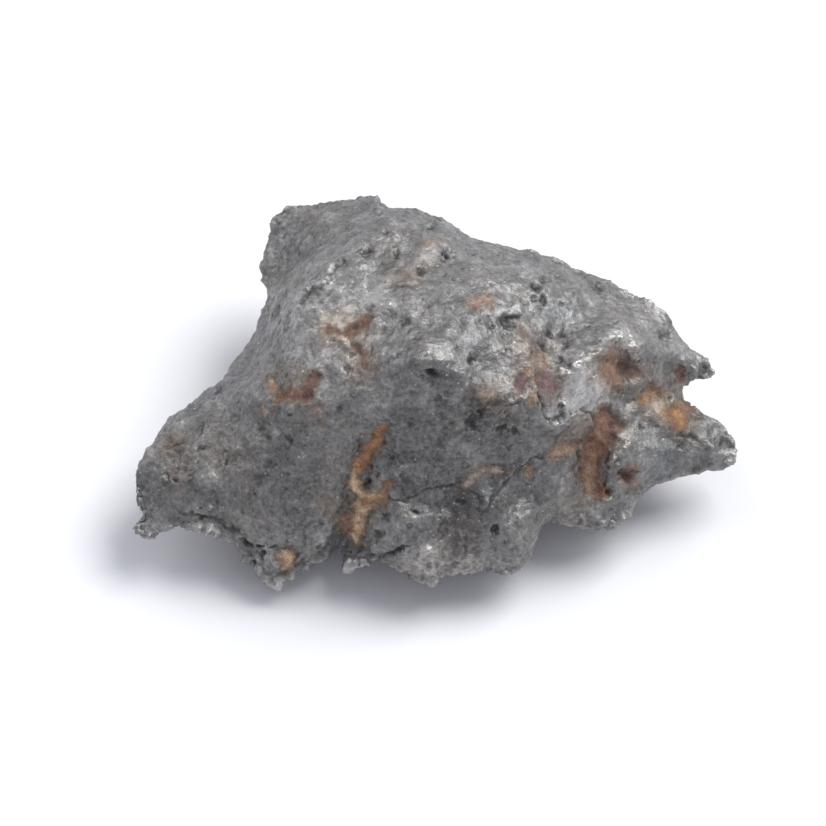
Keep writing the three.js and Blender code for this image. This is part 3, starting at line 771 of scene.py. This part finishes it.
# %% Fray the edges
FRAYED = {
    "spur": (-28.4, -13, 3, 0.9),
    "left hem": (-23, -13, 4.6, 1.0),
    "left lobe": (-15.6, -17, 4.6, 1.0),
    "toe": (-7.8, -16, 2.4, 1.0),
    "apron, left": (-1, -17.4, 4, 0.5),
    "apron, right": (5.4, -17.4, 4.4, 0.4),
    "foot of the gutter": (17.6, -12.4, 4, 0.7),
    "right belly": (24, -8, 4, 0.35),
    "lower horn": (30, -4.6, 2.6, 0.6),
    "upper horn": (28, 3, 2.2, 0.6),
    "horn notch": (26, 0, 2, 0.5),
    "right shoulder": (20, 10.6, 5, 0.5),
    "top of the shoulder": (11, 14.6, 4, 0.3),
    "prong": (-15.6, 18.6, 3, 0.5),
    "top edge": (-5.6, 20.4, 2.6, 0.5),
    "beside the prong": (-16.8, 13, 2.4, 0.35),
}
frayed = np.zeros(len(place))
for centre_across, centre_up, radius, strength in FRAYED.values():
    reach = np.hypot(across - centre_across, up - centre_up) / radius
    frayed = np.maximum(frayed, strength * (1 - ease(0.4, 1.0, reach)))
frayed *= rim * ease(-0.75, -0.3, looks_out)

RIM_FRILL, FRAYED_FRILL, LIP_FRILL = 0.14, 0.5, 0.26
lip = spot(2.4, -16.6, 5)
frill = crumple(1.0, 120.0, 4) + 0.5 * (creases(1.4, 125.0) - 0.9)
height += (RIM_FRILL * rim * (1 - calm) + FRAYED_FRILL * frayed + LIP_FRILL * lip) * frill
print("the frill spans", round(float(np.ptp(frill * frayed)) * FRAYED_FRILL, 2), "mm")

# %% [markdown]
# The crumbs are domes of different sizes set on the rim. Where two domes meet the higher one wins: adding
# them up would grow them into spikes.

# %% Crumbs
CRUMBS, CRUMB_RADII = 190, (0.25, 0.7)
DOME_HEIGHT = 0.7
crumbs = np.zeros(len(place))
for index in rng.choice(np.flatnonzero(frayed > 0.3), CRUMBS):
    radius = rng.uniform(*CRUMB_RADII)
    near, distance_in = around(index, radius)
    dome = DOME_HEIGHT * radius * (1 - (distance_in / radius) ** 2) * frayed[index]
    crumbs[near] = np.maximum(crumbs[near], dome)
height += crumbs
crust_and_painted_light = np.maximum(crust_and_painted_light, 0.3 * frayed)
print("crumbs on", round(100 * float((crumbs > 0.05).mean()), 1), "% of the stone")

# %% [markdown]
# ## Carve
#
# All the heights are now one number per point, so the carving is a single move along the surface's
# direction. The feet stay flat: no point may sink below the table.

# %% Move every point
carved = place + facing * height[:, None]
carved[:, 2] = np.maximum(carved[:, 2], 0.0)
stone_mesh.vertices.foreach_set("co", (carved * MM).ravel())
stone_mesh.update()
facing = read_vectors(stone_mesh.vertex_normals, "vector")
print("deepest", round(float(height.min()), 2), "mm, highest", round(float(height.max()), 2), "mm")

# %% [markdown]
# ## Wear, painted highlights and darkening
#
# Handling polishes what stands out, and what lies deep is made darker. Both come from the same measure as the
# rim: how far a point stands out of its neighbourhood. A small neighbourhood finds single grains, a broad one
# finds the long crests, where the burnt skin has worn through to pale metal and a painted highlight runs
# along the crest. Each pair of numbers says, in millimetres, where the wear, the highlight or the darkening
# begins and where it is full.

# %% Measure what stands out
WEAR, CREVICE = (0.003, 0.035), (0.003, 0.03)
CREST, TROUGH = (0.06, 0.3), (0.06, 0.35)
BRIM_SPARED = 0.8

fine = stands_proud(carved, 0, 3)
broad = stands_proud(carved, 8, 80)
worn = ease(*WEAR, fine) * (1 - BRIM_SPARED * brims)
crevices = ease(*CREVICE, -fine)
# Crests: worn pale metal with a painted highlight along them.
crests = ease(*CREST, broad) * np.clip(0.6 + 0.9 * hills(2.2, 55.0), 0, 1)
troughs = ease(*TROUGH, -broad)
print("crests cover", round(100 * float((crests > 0.4).mean()), 1), "% of the stone")

# %% [markdown]
# Bare metal is grey, but never one grey. Near the rust it is stained warm, and where the skin is a thicker
# oxide it leans to blue. TINTS lists such places, warm above zero and blue below it.

# %% Tint of the metal
TINTS = {
    "plateau, left": (-9, 7, 4.4, 0.9),
    "below the plateau": (-6.6, 3.4, 3.4, 1.0),
    "left brow": (-13.4, 2.4, 3, 0.8),
    "under the left brow": (-12.4, -1.4, 2.2, 0.5),
    "top of the plateau": (-2, 13, 4.4, 0.45),
    "left face": (-20, -6, 4.4, 0.5),
    "left flank": (-26, -4.6, 2.4, 0.7),
    "beside the vein": (-10.6, -6.4, 2.6, 0.5),
    "foot of the vein": (-10.4, -11, 2, 0.6),
    "shoulder": (9.6, 4, 3, 0.6),
    "around the hollow": (19, 3.2, 3.2, 0.7),
    "apron": (3, -14, 5.4, 0.35),
    "right of the apron": (14, -11, 4.4, 0.35),
    "around the gutter": (15, -4, 3.6, 0.4),
    "behind the shoulder": (12.6, 8.6, 2.8, -0.7),
    "tongue": (6, -9, 2.2, -0.9),
    "right wing": (23.6, -5, 4, -0.6),
    "summit's right": (4.4, 6, 3.4, -0.4),
    "hem": (-22, -9, 3, -0.3),
}
HALO_WARMTH = 0.9
tint = 0.35 * hills(4.2, 17.0) + 0.25 * hills(1.1, 19.0)
for centre_across, centre_up, radius, strength in TINTS.values():
    tint += strength * spot(centre_across, centre_up, radius)
tint += HALO_WARMTH * halo
print("tint runs from", round(float(tint.min()), 2), "to", round(float(tint.max()), 2))

# %% [markdown]
# Tone says how pale the metal is: 0 for the darkest skin, 1 for bright metal. It starts from a plain middle
# grey. PALER lists what adds to it and DARKER what takes away, each with its share. Part of what is added is
# painted light, from the crust map and along the crests, and part of what is taken away is painted shade,
# from the shade map and the hollows; the crevices and troughs are simply made darker.

# %% Tone of the metal
PLAIN_TONE = 0.38
PALEST = 0.95
# Paler: the crust share is partly painted light and the crests share partly a painted highlight. Darker: the
# shade share is partly painted shade and the hollow share is painted shade.
PALER = [
    (0.30, crust_and_painted_light),
    (0.16, hills(1.9, 23.0)),
    (0.13, hills(0.8, 25.0)),
    (0.08, worn),
    (0.12, crests * (1 - calm)),
]
DARKER = [(0.24, shade), (0.16, crevices), (0.16, troughs), (0.16, hollow), (0.12, halo)]
tone = PLAIN_TONE + sum(share * values for share, values in PALER)
tone -= sum(share * values for share, values in DARKER)
tone = np.clip(tone, 0, PALEST)
print("tone runs from", round(float(tone.min()), 2), "to", round(float(tone.max()), 2))

# %% [markdown]
# The finish will need these maps. We paint them onto the points as attributes, which are named values that
# travel with the mesh. Polish is where the burnt skin is rubbed smooth, and the painted sparkle map is where
# pale specks may be painted onto the crystals to stand for glints.

# %% Paint the maps onto the mesh
WORN_SHINE, CREST_SHINE, CRUST_SHINE = 0.35, 0.15, 0.35
shine = (WORN_SHINE * worn + CREST_SHINE * crests) * (1 - calm) + CRUST_SHINE * rough
painted = {
    "tone": tone,
    "tint": np.clip(tint, -1, 1),
    "stain": stain,
    "hollow": np.clip(hollow, 0, 1),
    "polish": np.clip(shine, 0, 1),
    # Where pale specks may be painted as glints.
    "painted_sparkle": np.clip(0.5 + 0.5 * crust_and_painted_light, 0, 0.9),
}
for name, values in painted.items():
    attribute = stone_mesh.attributes.new(name, "FLOAT", "POINT")
    attribute.data.foreach_set("value", values.astype(np.float32))
colour_map = stone_mesh.attributes.new("stain_colour", "FLOAT_COLOR", "POINT")
with_alpha = np.concatenate([np.clip(stain_colour, 0, 1), np.ones((len(place), 1))], 1)
colour_map.data.foreach_set("color", with_alpha.astype(np.float32).ravel())

stone_mesh.shade_smooth()
stone = bpy.data.objects.new("meteorite", stone_mesh)
bpy.context.collection.objects.link(stone)
print("painted", ", ".join(painted), "and the stains' colours")

# %% [markdown]
# The clay was denser than the carving needs: flat places can do with fewer faces. Decimating merges faces
# where the surface is flat and keeps them where it is sharp.

# %% Thin the mesh
MOST_FACES = 190_000
triangles = 2 * len(stone_mesh.polygons)
if triangles > MOST_FACES:
    thin = stone.modifiers.new("fewer faces", "DECIMATE")
    thin.ratio = MOST_FACES / triangles
    depsgraph = bpy.context.evaluated_depsgraph_get()
    thinned = bpy.data.meshes.new_from_object(stone.evaluated_get(depsgraph))
    stone.modifiers.clear()
    stone.data = thinned
stone_mesh = stone.data
print("the stone keeps", len(stone_mesh.polygons), "faces of", triangles)

# %% [markdown]
# ## The finish: burnt nickel-iron with rust
#
# The real surface is bare metal under a very thin burnt skin. It gives the eye a dull grey with soft, broad
# glints, pinpoint sparkles on its crystals, and no glint at all on the rust, which is a powder. The pinpoint
# sparkles are painted into the colour as pale specks. So one shader holds two recipes, and the stain map
# decides between them.


# %% A helper that adds a node
def add_node(kind, settings=None, links=None):
    """Adds a node. Settings go to its own options or its inputs, links feed its inputs from other nodes."""
    node = finish.node_tree.nodes.new(kind)
    for name, value in (settings or {}).items():
        if isinstance(name, str) and hasattr(node, name):
            setattr(node, name, value)
        else:
            node.inputs[name].default_value = value
    for name, source in (links or {}).items():
        finish.node_tree.links.new(source, node.inputs[name])
    return node


finish = bpy.data.materials.new("burnt nickel-iron with rust")
finish.use_nodes = True
finish.node_tree.nodes.clear()

# %% Read the painted maps
maps = {}
for name in (*painted, "stain_colour"):
    output = "Color" if name == "stain_colour" else "Fac"
    maps[name] = add_node("ShaderNodeAttribute", {"attribute_name": name}).outputs[output]
print("the finish reads", ", ".join(maps))

# %% [markdown]
# The painted maps are about a quarter of a millimetre fine. Below that, patterns take over. A texture's scale
# counts repeats per metre, so a pattern one millimetre wide has a scale of 1000. The real skin's grain is
# finer than a tenth of a millimetre: it is drawn as coarse as it has to be to show.

# %% Patterns: clouds, mottle, grain and crystals
PATTERNS = {
    "clouds": (2.6 * MM, {"Detail": 4, "Roughness": 0.6}),
    "mottle": (0.5 * MM, {"Detail": 3, "Roughness": 0.6}),
    "grain": (0.22 * MM, {"Detail": 2}),
}
CRYSTAL_SPACING = 0.42 * MM

stone_places = {"Vector": add_node("ShaderNodeTexCoord").outputs["Object"]}
patterns = {}
for name, (width, detail) in PATTERNS.items():
    texture = add_node("ShaderNodeTexNoise", {"Scale": 1 / width, **detail}, stone_places)
    patterns[name] = texture.outputs["Fac"]
crystals = add_node("ShaderNodeTexVoronoi", {"Scale": 1 / CRYSTAL_SPACING}, stone_places)
print("patterns:", ", ".join(patterns), "and crystals")

# %% [markdown]
# The metal's grey is the painted tone with the patterns laid over it, each with its own contrast. A pattern
# runs from 0 to 1, so half of every contrast is taken off again to leave the average where it was. A colour
# ramp then turns the number into a grey.

# %% The metal's grey
METAL_DARK = "#565554"
METAL_MID = "#8b8a88"
METAL_BRIGHT = "#c6c5c2"
MID_AT = 0.45
CONTRASTS = {"clouds": 0.55, "mottle": 0.7, "grain": 0.5}


def set_stops(ramp, first, middle, last, middle_at):
    """Gives a colour ramp its three colours."""
    ramp.color_ramp.elements[0].color = (*linear(first), 1)
    ramp.color_ramp.elements[1].color = (*linear(last), 1)
    ramp.color_ramp.elements.new(middle_at).color = (*linear(middle), 1)


varied = maps["tone"]
for name, contrast in CONTRASTS.items():
    times_contrast = {"operation": "MULTIPLY_ADD", 1: contrast}
    varied = add_node("ShaderNodeMath", times_contrast, {0: patterns[name], 2: varied}).outputs[0]
half_off = {"operation": "SUBTRACT", 1: sum(CONTRASTS.values()) / 2}
centred = add_node("ShaderNodeMath", half_off, {0: varied}).outputs[0]
grey = add_node("ShaderNodeValToRGB", {}, {"Fac": centred})
set_stops(grey, METAL_DARK, METAL_MID, METAL_BRIGHT, MID_AT)
print("greys run from", METAL_DARK, "to", METAL_BRIGHT)

# %% Its tint, from blue to warm
BLUE_OXIDE = "#f4faff"
PLAIN_METAL = "#fdfcfc"
WARM_STAIN = "#fff0e2"

blue_to_warm = add_node(
    "ShaderNodeMapRange", {"From Min": -1, "From Max": 1}, {"Value": maps["tint"]}
).outputs["Result"]
tints = add_node("ShaderNodeValToRGB", {}, {"Fac": blue_to_warm})
set_stops(tints, BLUE_OXIDE, PLAIN_METAL, WARM_STAIN, 0.5)
FULL_MULTIPLY = {"data_type": "RGBA", "blend_type": "MULTIPLY", 0: 1.0}
metal_colour = add_node(
    "ShaderNodeMix", FULL_MULTIPLY, {6: grey.outputs["Color"], 7: tints.outputs["Color"]}
).outputs[2]
print("tints run from", BLUE_OXIDE, "to", WARM_STAIN)

# %% [markdown]
# The sparkles are painted into the colour: a few crystals get a pale speck, standing for the few that face
# the light at a time. Voronoi gives every cell a random colour, so keeping the cells whose colour is bright
# picks a few, and keeping only the middle of each makes it a speck. The grain chips the specks, so that they
# aren't round.

# %% Painted sparkles on the crystals
PAINTED_SPARK = "#e6e6e8"
PICKED_CELLS = {"From Min": 0.74, "From Max": 0.84}
SPECK_EDGE = {"From Min": 0.68, "From Max": 0.46}
CHIPPING = 0.8

picked = add_node(
    "ShaderNodeMapRange", PICKED_CELLS, {"Value": crystals.outputs["Color"]}
).outputs["Result"]
chipped = add_node(
    "ShaderNodeMath",
    {"operation": "MULTIPLY_ADD", 1: CHIPPING},
    {0: patterns["grain"], 2: crystals.outputs["Distance"]},
).outputs[0]
speck = add_node("ShaderNodeMapRange", SPECK_EDGE, {"Value": chipped}).outputs["Result"]
# The sparkle map, cut to the picked specks, says where pale colour is painted as a glint.
glint = maps["painted_sparkle"]
for factor in (picked, speck):
    glint = add_node("ShaderNodeMath", {"operation": "MULTIPLY"}, {0: glint, 1: factor}).outputs[0]
metal_with_painted_sparks = add_node(
    "ShaderNodeMix", {"data_type": "RGBA", 7: (*linear(PAINTED_SPARK), 1)}, {0: glint, 6: metal_colour}
).outputs[2]
print("crystals sit", round(CRYSTAL_SPACING / MM, 2), "mm apart")

# %% [markdown]
# Rust has a ragged edge at every scale, so its map is shaken with the mottle before it is cut off. The grain
# then makes it powdery, paler and darker from speck to speck.

# %% Rust over the metal
SHAKE = 0.9
RUST_EDGE = {"From Min": 0.6, "From Max": 1.35, "To Max": 0.95}
POWDER_GRAIN = {"From Min": 0.3, "From Max": 0.7, "To Min": 0.65, "To Max": 1.25}

shaken = add_node(
    "ShaderNodeMath",
    {"operation": "MULTIPLY_ADD", 1: SHAKE},
    {0: patterns["mottle"], 2: maps["stain"]},
).outputs[0]
rust_cover = add_node("ShaderNodeMapRange", RUST_EDGE, {"Value": shaken}).outputs["Result"]
powdery = add_node("ShaderNodeMapRange", POWDER_GRAIN, {"Value": patterns["grain"]}).outputs["Result"]
rust_colour = add_node(
    "ShaderNodeMix", FULL_MULTIPLY, {6: maps["stain_colour"], 7: powdery}
).outputs[2]
both = add_node(
    "ShaderNodeMix", {"data_type": "RGBA"}, {0: rust_cover, 6: metal_with_painted_sparks, 7: rust_colour}
).outputs[2]
print("rust hides up to", round(100 * RUST_EDGE["To Max"]), "% of the metal")

# %% [markdown]
# Shade falls deep in a pit, down a groove and under a lap's step, and here it is painted: the hollow map
# takes up to two fifths of the colour's brightness away there.

# %% Painted shade in the hollows
HOLLOW_LIGHT = 0.6
open_air = add_node(
    "ShaderNodeMapRange", {"To Min": 1.0, "To Max": HOLLOW_LIGHT}, {"Value": maps["hollow"]}
).outputs["Result"]
base_colour = add_node("ShaderNodeMix", FULL_MULTIPLY, {6: both, 7: open_air}).outputs[2]
print("the deepest hollows keep", round(100 * HOLLOW_LIGHT), "% of their brightness")

# %% [markdown]
# Bare nickel-iron would be wholly metallic and fairly glossy. The burnt skin over it is an oxide, part way
# between a metal and a mineral, and rough. Where the skin is worn the gloss comes back. Rust isn't metallic
# at all, and rougher still.

# %% Shine and bump
BURNT_METALNESS, RUST_METALNESS = 0.7, 0.0
BURNT_ROUGHNESS, POLISHED_ROUGHNESS = 0.52, 0.32
RUST_ROUGHER = 0.4
GRAIN_IN_BUMP = 0.5
BUMP_STRENGTH, BUMP_DEPTH = 0.8, 0.12 * MM

metalness = add_node(
    "ShaderNodeMapRange",
    {"To Min": BURNT_METALNESS, "To Max": RUST_METALNESS},
    {"Value": rust_cover},
).outputs["Result"]
skin_roughness = add_node(
    "ShaderNodeMapRange",
    {"To Min": BURNT_ROUGHNESS, "To Max": POLISHED_ROUGHNESS},
    {"Value": maps["polish"]},
).outputs["Result"]
roughness = add_node(
    "ShaderNodeMath",
    {"operation": "MULTIPLY_ADD", 1: RUST_ROUGHER, "use_clamp": True},
    {0: rust_cover, 2: skin_roughness},
).outputs[0]
bump_height = add_node(
    "ShaderNodeMath",
    {"operation": "MULTIPLY_ADD", 1: GRAIN_IN_BUMP},
    {0: patterns["grain"], 2: patterns["mottle"]},
).outputs[0]
bump = add_node(
    "ShaderNodeBump", {"Strength": BUMP_STRENGTH, "Distance": BUMP_DEPTH}, {"Height": bump_height}
).outputs["Normal"]

surface = add_node(
    "ShaderNodeBsdfPrincipled",
    {},
    {"Base Color": base_colour, "Metallic": metalness, "Roughness": roughness, "Normal": bump},
)
add_node("ShaderNodeOutputMaterial", {}, {"Surface": surface.outputs["BSDF"]})
stone_mesh.materials.clear()
stone_mesh.materials.append(finish)
print("finish uses", len(finish.node_tree.nodes), "nodes")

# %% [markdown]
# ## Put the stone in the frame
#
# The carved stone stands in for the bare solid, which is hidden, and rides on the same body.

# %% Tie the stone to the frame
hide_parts("meteorite")
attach(stone, "root")
print(stone.name, "rides on the root body")

# %% [markdown]
# ## A plain white table and soft light
#
# The floor is matt white card, lit brightly enough to bleach out. Uncoated card has no gloss to speak of, so
# it shows the eye nothing but the stone's soft shadow.

# %% The floor
CARD_WHITE = "#f4f4f6"
CARD_ROUGHNESS = 0.9
HALF_FLOOR = 1.5
SQUARE = [(-1, -1), (1, -1), (1, 1), (-1, 1)]

floor_finish = bpy.data.materials.new("matt white card")
floor_finish.use_nodes = True
card = floor_finish.node_tree.nodes["Principled BSDF"]
card.inputs["Base Color"].default_value = (*linear(CARD_WHITE), 1)
card.inputs["Roughness"].default_value = CARD_ROUGHNESS
floor_mesh = bpy.data.meshes.new("floor")
corners = [(HALF_FLOOR * side, HALF_FLOOR * end, 0) for side, end in SQUARE]
floor_mesh.from_pydata(corners, [], [(0, 1, 2, 3)])
floor_mesh.materials.append(floor_finish)
floor = bpy.data.objects.new("floor", floor_mesh)
bpy.context.collection.objects.link(floor)
print("the floor is", 2 * HALF_FLOOR, "m wide")

# %% [markdown]
# Two broad panels stand above and behind the stone, a strong one on the right and a weak one on the left.
# They whiten the faces that look up, leave the front in shade, and blur the shadow. A small lamp among them
# adds pinpoint glints, and the room's own faint, cool light fills in the rest. LIGHTS gives each one's place
# and width in metres and its power in watts.

# %% The lights
LIGHTS = {
    "broad panel, right": ((0.75, 0.5, 1.2), 1.0, 20.5),
    "broad panel, left": ((-0.8, 0.6, 1.0), 0.9, 4),
    "small lamp for the glints": ((0.5, 0.6, 0.9), 0.2, 0.5),
}
MIDDLE_OF_STONE = Vector((0, 0, 0.01))
for name, (where, width, power) in LIGHTS.items():
    light = bpy.data.lights.new(name, "AREA")
    light.size = width
    light.energy = power
    panel = bpy.data.objects.new(name, light)
    panel.location = where
    panel.rotation_euler = (MIDDLE_OF_STONE - Vector(where)).to_track_quat("-Z", "Y").to_euler()
    bpy.context.collection.objects.link(panel)

ROOM_LIGHT = "#f0f3ff"
ROOM_BRIGHTNESS = 0.5
room = bpy.data.worlds.new("room")
room.use_nodes = True
background = room.node_tree.nodes["Background"]
background.inputs["Color"].default_value = (*linear(ROOM_LIGHT), 1)
background.inputs["Strength"].default_value = ROOM_BRIGHTNESS
bpy.context.scene.world = room
bpy.context.scene.view_settings.view_transform = "Standard"
print(len(LIGHTS), "lights of", sum(power for _, _, power in LIGHTS.values()), "W in all")
